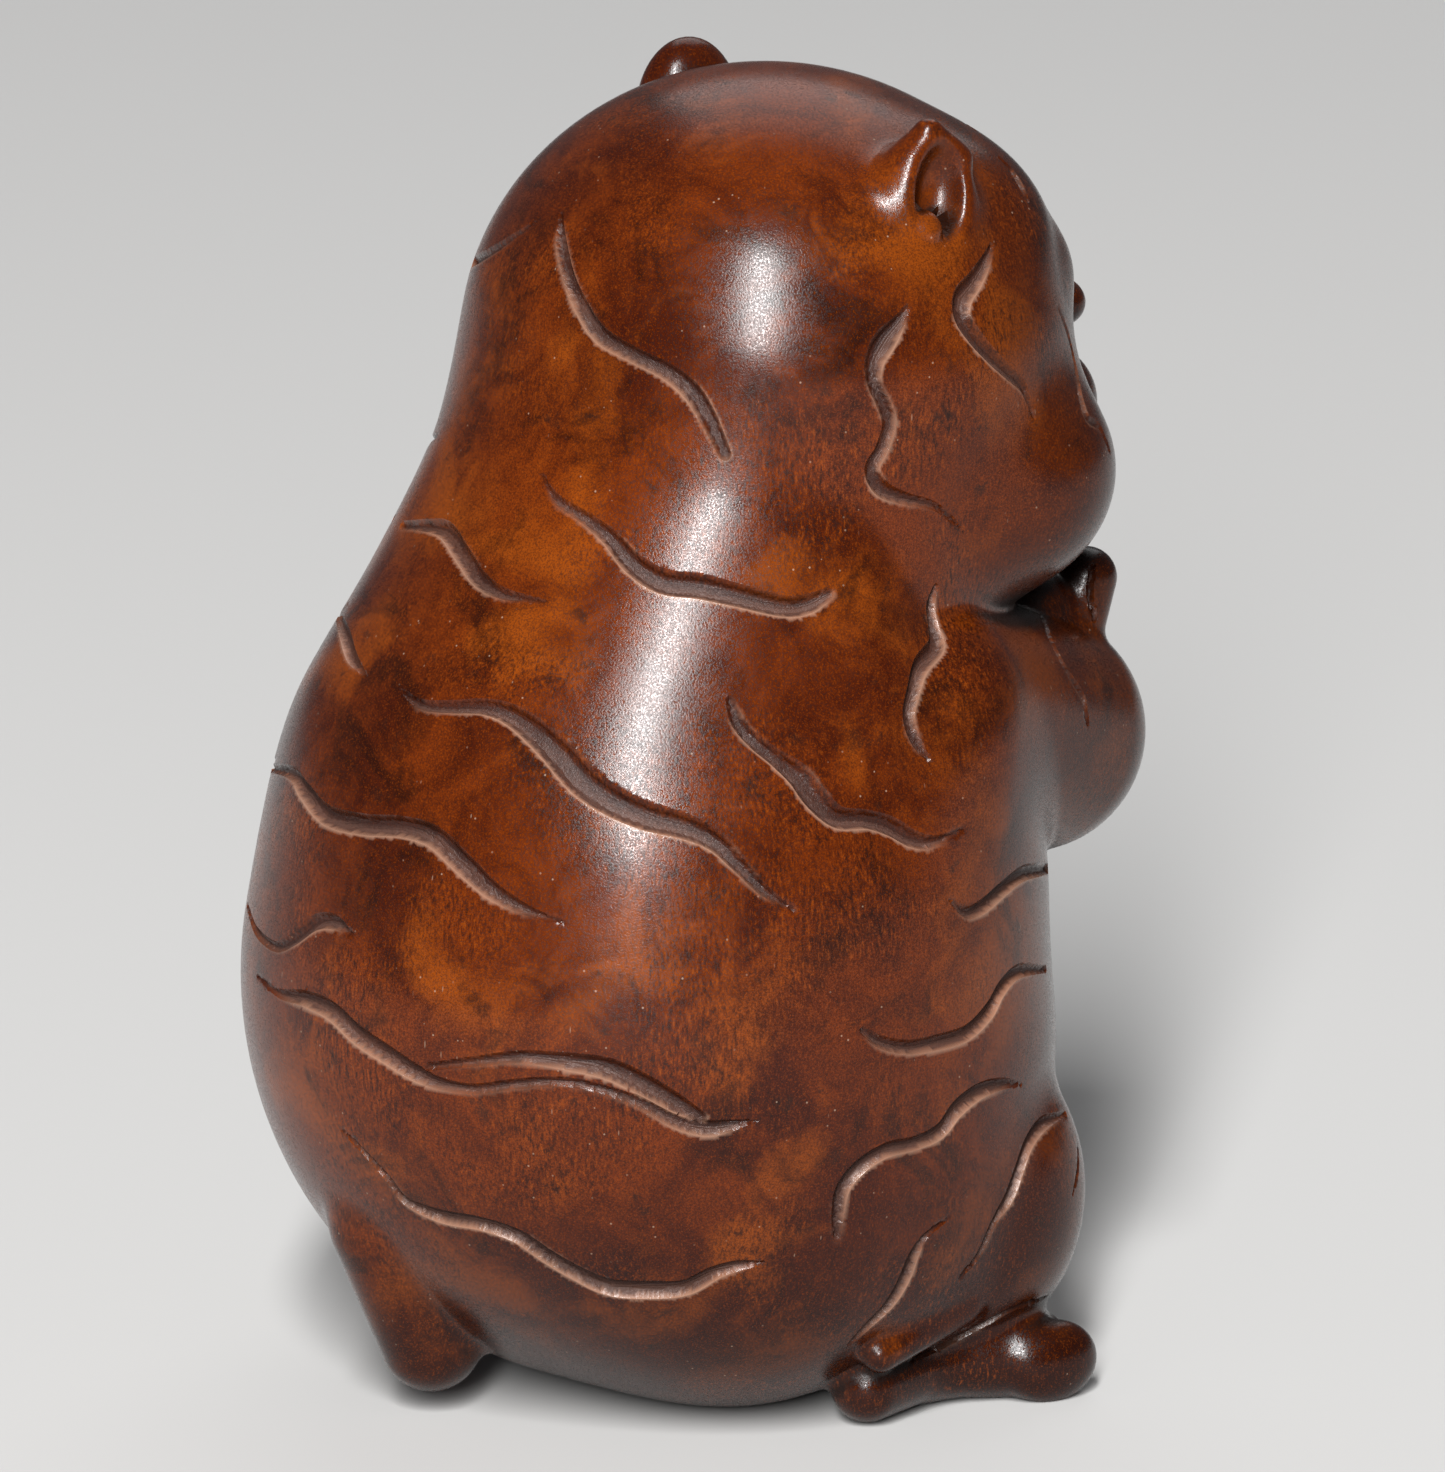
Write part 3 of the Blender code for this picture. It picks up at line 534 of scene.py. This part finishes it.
def halved_faces(mesh, points, depth):
    """Corners of triangles: each four-sided face is split between its two most level corners, but
    not where that would leave a very thin triangle."""
    corners = np.empty(len(mesh.loops), np.int32)
    mesh.loops.foreach_get("vertex_index", corners)
    counts = np.empty(len(mesh.polygons), np.int32)
    mesh.polygons.foreach_get("loop_total", counts)
    starts = np.cumsum(counts) - counts
    threes = corners[starts[counts == 3][:, None] + np.arange(3)]
    fours = corners[starts[counts == 4][:, None] + np.arange(4)]
    other = np.roll(fours, -1, axis=1)
    steps = [np.abs(depth[four[:, 0]] - depth[four[:, 2]]) for four in (fours, other)]
    areas = [thinner_half(points, four) for four in (fours, other)]
    thin = THINNEST_FACE * FINE_VOXEL ** 2
    swap = np.where(areas[0] < thin, areas[1] > areas[0], (steps[1] < steps[0]) & (areas[1] > thin))
    fours = np.where(swap[:, None], other, fours)
    return np.vstack([threes, fours[:, [0, 1, 2]], fours[:, [0, 2, 3]]])


def thinner_half(points, fours):
    """The smaller area of the two triangles that each face's first diagonal makes."""
    a, b, c, d = (points[fours[:, k]] for k in range(4))
    return np.minimum(size(np.cross(b - a, c - a)), size(np.cross(c - a, d - a))) / 2


def cut_flat(data):
    """Saw the figure off flat at the ground."""
    mesh = bmesh.new()
    mesh.from_mesh(data)
    everything = mesh.verts[:] + mesh.edges[:] + mesh.faces[:]
    bmesh.ops.bisect_plane(mesh, geom=everything, dist=1e-4, plane_co=(0, 0, 0),
                           plane_no=(0, 0, 1), clear_inner=True)
    bmesh.ops.holes_fill(mesh, edges=[e for e in mesh.edges if e.is_boundary], sides=0)
    mesh.to_mesh(data)
    mesh.free()


cat = bpy.data.objects.new("carved_cat", rough_shape())
bpy.context.scene.collection.objects.link(cat)
for voxel, steps in ((ROUGH_VOXEL, 6), (MIDDLE_VOXEL, 4)):
    applied(cat, "REMESH", mode="VOXEL", voxel_size=voxel)
    points, _ = drawn_onto_form(read_points(cat.data), steps)
    cat.data.vertices.foreach_set("co", points.astype(np.float32).ravel())
applied(cat, "REMESH", mode="VOXEL", voxel_size=FINE_VOXEL)
points, _ = drawn_onto_form(read_points(cat.data), 2)
points = slipped_to_lips(points)
depth = cut_into(points)[0]
skin = bpy.data.meshes.new("carved_cat")
skin.from_pydata(points - depth[:, None] * slope(points), [], halved_faces(cat.data, points, depth))
cat.data = skin
cut_flat(skin)
plain = cat.vertex_groups.new(name="plain")
plain.add(np.nonzero(beyond_lip(read_points(skin)) > KEPT_FINE)[0].tolist(), 1.0, "REPLACE")
sides = sum(len(face.vertices) - 2 for face in skin.polygons)
applied(cat, "DECIMATE", ratio=SKIN_TRIANGLES / sides, use_collapse_triangulate=True,
        vertex_group=plain.name)

points = read_points(cat.data)
uncut, away = drawn_onto_form(points, 2)
_, floor, walls, glint, upper = cut_into(uncut)
# How hemmed in each point is by the form; the polish paints it as shade in the creases
shelter = sum(np.clip(1 - form(uncut + reach * away) / reach, 0, 1) for reach in SHELTER_REACHES)
shelter /= len(SHELTER_REACHES)
above_ground = points[:, 2] > ABOVE_GROUND
for name, values in (("stripe_floor", floor), ("stripe_wall", walls), ("worn_lip_glint", glint),
                     ("upper_side", upper), ("shelter", shelter)):
    layer = cat.data.attributes.new(name, "FLOAT", "POINT")
    layer.data.foreach_set("value", (values * above_ground).astype(np.float32))
cat.data.transform(Matrix.Scale(UNIT, 4))
cat.data.shade_smooth()
cat.data.set_sharp_from_angle(angle=np.radians(SHARP_ANGLE))
cat.vertex_groups.clear()


# The polish
# Old boxwood, stained, waxed and rubbed: orange-brown where hands have worn it, deep red-brown
# elsewhere, with short dark flecks of grain, blotches, fine scratches and painted shade in the creases.


class Socket:
    """A shader value that sums are written with."""

    def __init__(self, nodes, end):
        self.nodes, self.end = nodes, end

    def maths(self, operation, first, second):
        return self.nodes.node("ShaderNodeMath", {"operation": operation}, {0: first, 1: second})

    def __add__(self, other):
        return self.maths("ADD", self, other)

    def __radd__(self, other):
        return self.maths("ADD", other, self)

    def __sub__(self, other):
        return self.maths("SUBTRACT", self, other)

    def __rsub__(self, other):
        return self.maths("SUBTRACT", other, self)

    def __mul__(self, other):
        return self.maths("MULTIPLY", self, other)

    def __rmul__(self, other):
        return self.maths("MULTIPLY", other, self)


class Nodes:
    """The nodes of one material."""

    def __init__(self, name):
        self.material = bpy.data.materials.new(name)
        self.material.use_nodes = True
        self.tree = self.material.node_tree
        self.tree.nodes.clear()

    def node(self, kind, settings=None, sockets=None, out=0):
        """A node of a kind: its settings first, then the values or links of its sockets."""
        made = self.tree.nodes.new(kind)
        for name, value in (settings or {}).items():
            setattr(made, name, value)
        for name, value in (sockets or {}).items():
            if isinstance(value, Socket):
                self.tree.links.new(value.end, made.inputs[name])
            else:
                made.inputs[name].default_value = value
        return Socket(self, made.outputs[out]) if made.outputs else made

    def mask(self, name):
        """The piece's own attribute of that name."""
        return self.node("ShaderNodeAttribute", {"attribute_name": name}, out=2)

    def between(self, value, low, high):
        """0 where the value is at low or past it, 1 at high or past it, smooth between."""
        return self.node("ShaderNodeMapRange", {"interpolation_type": "SMOOTHSTEP"},
                         {"Value": value, "From Min": low, "From Max": high})

    def noise(self, place, scale, detail=3.0, roughness=0.55, distortion=0.0):
        """Cloudy noise, of which one cloud is about one over the scale wide."""
        return self.node("ShaderNodeTexNoise", {}, {
            "Vector": place, "Scale": scale, "Detail": detail, "Roughness": roughness,
            "Distortion": distortion})

    def mix(self, share, first, second):
        """A colour share of the way from first to second."""
        return self.node("ShaderNodeMix", {"data_type": "RGBA"}, {0: share, 6: first, 7: second}, out=2)

    def stretched(self, place, scale, turn=(0, 0, 0)):
        """A place turned and then multiplied by a scale along each axis."""
        return self.node("ShaderNodeMapping", {}, {"Vector": place, "Scale": scale, "Rotation": turn})


wood = Nodes("polished_boxwood")
MM_IN_A_METRE = 1000
metres = wood.node("ShaderNodeTexCoord", out=3)
mm = wood.stretched(metres, (MM_IN_A_METRE,) * 3)
floor_mask = wood.mask("stripe_floor")
wall_mask = wood.mask("stripe_wall")
lip_wear_and_glint = wood.mask("worn_lip_glint")
upper_side = wood.mask("upper_side")
sheltered = wood.mask("shelter")

AMBER = (0.21, 0.043, 0.0025, 1)
ORANGE = (0.105, 0.0165, 0.0010, 1)
RED_BROWN = (0.036, 0.0043, 0.0005, 1)
DEEP_BROWN = (0.0075, 0.0013, 0.0004, 1)
SMOKE = (0.013, 0.0055, 0.0035, 1)
FLOOR_PALE = (0.078, 0.040, 0.030, 1)
FLOOR_DARK = (0.020, 0.0075, 0.0055, 1)
WORN_EDGE_GLINT = (0.30, 0.165, 0.11, 1)
CREASE_SHADE = (0.004, 0.0014, 0.0008, 1)
DUST = (0.30, 0.20, 0.14, 1)

# Broad clouds of stain and mottles a few millimetres wide; darker low down, partly stain and partly painted
# shade
backward, height_up = (wood.node("ShaderNodeSeparateXYZ", {}, {"Vector": mm}, out=k) for k in (1, 2))
clouds = wood.noise(mm, 0.085, 3, 0.5, 0.5)
mottles = wood.noise(mm, 0.38, 4, 0.68, 1.0)
low = 1 - wood.between(height_up, -2.0, 13.0)
tone = wood.between(clouds * 0.6 + mottles * 0.4 - low * 0.12, 0.38, 0.60)
colour = wood.mix(tone, RED_BROWN, ORANGE)
glow = wood.between(wood.noise(mm, 0.13, 2, 0.5, 0.6) + mottles * 0.3, 0.66, 0.86)
colour = wood.mix(glow * 0.65, colour, AMBER)
# Darker stain in soft patches, and smoky bruises
stains = wood.between(wood.noise(mm, 0.21, 4, 0.72, 0.6), 0.52, 0.68)
colour = wood.mix(stains * 0.68, colour, DEEP_BROWN)
bruises = wood.between(wood.noise(mm, 0.6, 4, 0.66, 0.3), 0.61, 0.73)
colour = wood.mix(bruises * 0.62, colour, SMOKE)
# Darker low down: partly stain, partly painted shade where the light falls off
colour = wood.mix(low * 0.8, colour, DEEP_BROWN)
# Darker towards the front: painted shade where the light falls off
front_painted_shade = wood.between(mottles * 6 - backward, 3.0, 17.0)
colour = wood.mix(front_painted_shade * 0.58, colour, DEEP_BROWN)
# Short upright streaks of grain, fine and thick in patches
wander = wood.node("ShaderNodeVectorMath", {"operation": "SCALE"}, {
    0: wood.node("ShaderNodeTexNoise", {}, {"Vector": mm, "Scale": 0.5, "Detail": 1.0}, out=1),
    "Scale": 1.6})
grain_place = wood.node("ShaderNodeVectorMath", {"operation": "ADD"}, {
    0: wood.stretched(mm, (7.5, 7.5, 2.2)), 1: wander})
grain = wood.noise(grain_place, 1.0, 4, 0.65)
drift = wood.noise(mm, 0.17, 2, 0.5)
patches = wood.between(drift, 0.44, 0.62)
streaks = wood.between(grain, 0.46, 0.66) * (0.18 + 0.6 * patches)
colour = wood.mix(streaks, colour, DEEP_BROWN)
light_streaks = wood.between(grain, 0.47, 0.30) * (0.12 + 0.45 * patches)
colour = wood.mix(light_streaks, colour, AMBER)
# Fine speckle of pores all over
pores = wood.noise(mm, 13.0, 2, 0.75)
colour = wood.mix(wood.between(pores, 0.46, 0.62) * 0.5, colour, DEEP_BROWN)
colour = wood.mix(wood.between(pores, 0.45, 0.32) * 0.3, colour, AMBER)
# Pale dust in specks, and short scratches
specks = wood.node("ShaderNodeTexVoronoi", {"feature": "F1"}, {"Vector": mm, "Scale": 1.6})
dusty = wood.between(wood.noise(mm, 0.26, 2), 0.46, 0.60)
dust = wood.between(specks, 0.085, 0.045) * dusty
colour = wood.mix(dust * 0.6, colour, DUST)
scratch_cells = wood.node("ShaderNodeTexVoronoi", {"feature": "F1"}, {
    "Vector": wood.stretched(mm, (3.4, 3.4, 0.6), (0.5, 0.35, 0.2)), "Scale": 0.5})
scratches = wood.between(scratch_cells, 0.06, 0.03) * dusty
colour = wood.mix(scratches * 0.4, colour, DUST)
# Painted shade where forms meet
painted_crease_shade = wood.between(sheltered, 0.24, 0.66)
colour = wood.mix(painted_crease_shade * 0.9, colour, CREASE_SHADE)
# Stripes: a rolled shoulder darkened by painted shade and some patina, a worn lower lip with a painted
# glint, and a matt greyer floor between them, pricked, with gouge marks along it, and paler downwards,
# which is painted light
# The rolled shoulder darker, most on its upper side: painted shade, with some patina
colour = wood.mix(wall_mask * (0.25 + 0.6 * upper_side), colour, DEEP_BROWN)
prick = wood.noise(mm, 11.5, 3, 0.7)
gouged = wood.node("ShaderNodeTexNoise", {"noise_dimensions": "1D"}, {
    "W": upper_side * 8 + drift * 9, "Scale": 1.0, "Detail": 2.0, "Roughness": 0.6})
# The floor paler towards its lower lip, where it faces the light: painted light
lower_floor_painted_light = wood.between(upper_side, 0.66, 0.20)
floor_tone = wood.between(lower_floor_painted_light * 0.65 + prick * 0.4 + gouged * 0.5, 0.48, 1.08)
# The stripe floors are darker towards the front too: painted shade
floor_colour = wood.mix(floor_tone * (1 - 0.45 * front_painted_shade), FLOOR_DARK, FLOOR_PALE)
colour = wood.mix(floor_mask * 0.85, colour, floor_colour)
# A pale lower lip: partly wear, partly a painted glint where the lip catches the light
colour = wood.mix(lip_wear_and_glint * 0.75, colour, WORN_EDGE_GLINT)

# A wax polish, finely speckled, and duller in the stripes, on dust and in creases
speckle = wood.between(wood.noise(mm, 13.0, 2, 0.7), 0.34, 0.66)
roughness = (0.02 + 0.24 * speckle + 0.13 * mottles + 0.08 * streaks + 0.25 * floor_mask
             + 0.25 * dust + 0.15 * painted_crease_shade)
height = speckle * 0.0020 + (prick * 0.03 + gouged * 0.05) * floor_mask
bump = wood.node("ShaderNodeBump", {}, {"Strength": 1.0, "Distance": 0.001, "Height": height})
shader = wood.node("ShaderNodeBsdfPrincipled", {}, {
    "Base Color": colour, "Roughness": roughness, "Normal": bump, "IOR": 1.34})
wood.node("ShaderNodeOutputMaterial", {}, {"Surface": shader})
cat.data.materials.append(wood.material)

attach(cat, "root")
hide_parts("cat_figure")


# Floor, light and camera
# A plain pale floor, a tall soft light beside the camera as the highlights show, a weaker one
# before the face, and the camera behind the cat's right shoulder.

FLOOR_REACH = 3.0
floor_mesh = bpy.data.meshes.new("floor")
floor_mesh.from_pydata([(FLOOR_REACH * x, FLOOR_REACH * y, 0.0)
                        for x, y in ((-1, -1), (1, -1), (1, 1), (-1, 1))], [], [(0, 1, 2, 3)])
ground = bpy.data.objects.new("floor", floor_mesh)
bpy.context.scene.collection.objects.link(ground)
pale = Nodes("pale_floor")
pale_shader = pale.node("ShaderNodeBsdfPrincipled", {}, {
    "Base Color": (0.48, 0.475, 0.467, 1), "Roughness": 0.9})
pale.node("ShaderNodeOutputMaterial", {}, {"Surface": pale_shader})
floor_mesh.materials.append(pale.material)

world = bpy.data.worlds.new("studio")
world.use_nodes = True
sky = world.node_tree.nodes["Background"].inputs
sky["Color"].default_value = (0.78, 0.8, 0.85, 1)
sky["Strength"].default_value = 0.13
bpy.context.scene.world = world

right, up, back = view_axes(**VIEWS["flank"])
target = (VIEW_CENTRE[0] * right + VIEW_CENTRE[1] * up) * UNIT
axes = Matrix([[right[i], up[i], back[i]] for i in range(3)]).to_4x4()


def soft_light(name, sideways, upwards, distance, width, height, watts):
    """A softbox that looks at the cat, some degrees sideways and upwards of the camera."""
    a, b = np.radians(sideways), np.radians(upwards)
    way = right * np.sin(a) * np.cos(b) + up * np.sin(b) + back * np.cos(a) * np.cos(b)
    light = bpy.data.lights.new(name, "AREA")
    light.shape, light.size, light.size_y, light.energy = "RECTANGLE", width, height, watts
    lamp = bpy.data.objects.new(name, light)
    lamp.matrix_world = (Matrix.Translation(target + distance * way)
                         @ Vector(way).to_track_quat("Z", "Y").to_matrix().to_4x4())
    bpy.context.scene.collection.objects.link(lamp)


LIGHT_DISTANCE = 1.65
soft_light("key_light", -6.0, 22.0, LIGHT_DISTANCE, width=0.19, height=1.25, watts=66.0)
soft_light("front_light", 170.0, 62.0, LIGHT_DISTANCE, width=1.2, height=1.2, watts=6.0)

bpy.context.scene.view_settings.view_transform = "Standard"

CAMERA_DISTANCE = 0.4
LENS = 239.7
camera = bpy.data.objects.new("camera", bpy.data.cameras.new("camera"))
camera.data.lens = LENS
camera.data.clip_start = 0.01
camera.matrix_world = Matrix.Translation(target + CAMERA_DISTANCE * back) @ axes
bpy.context.scene.collection.objects.link(camera)
bpy.context.scene.camera = camera
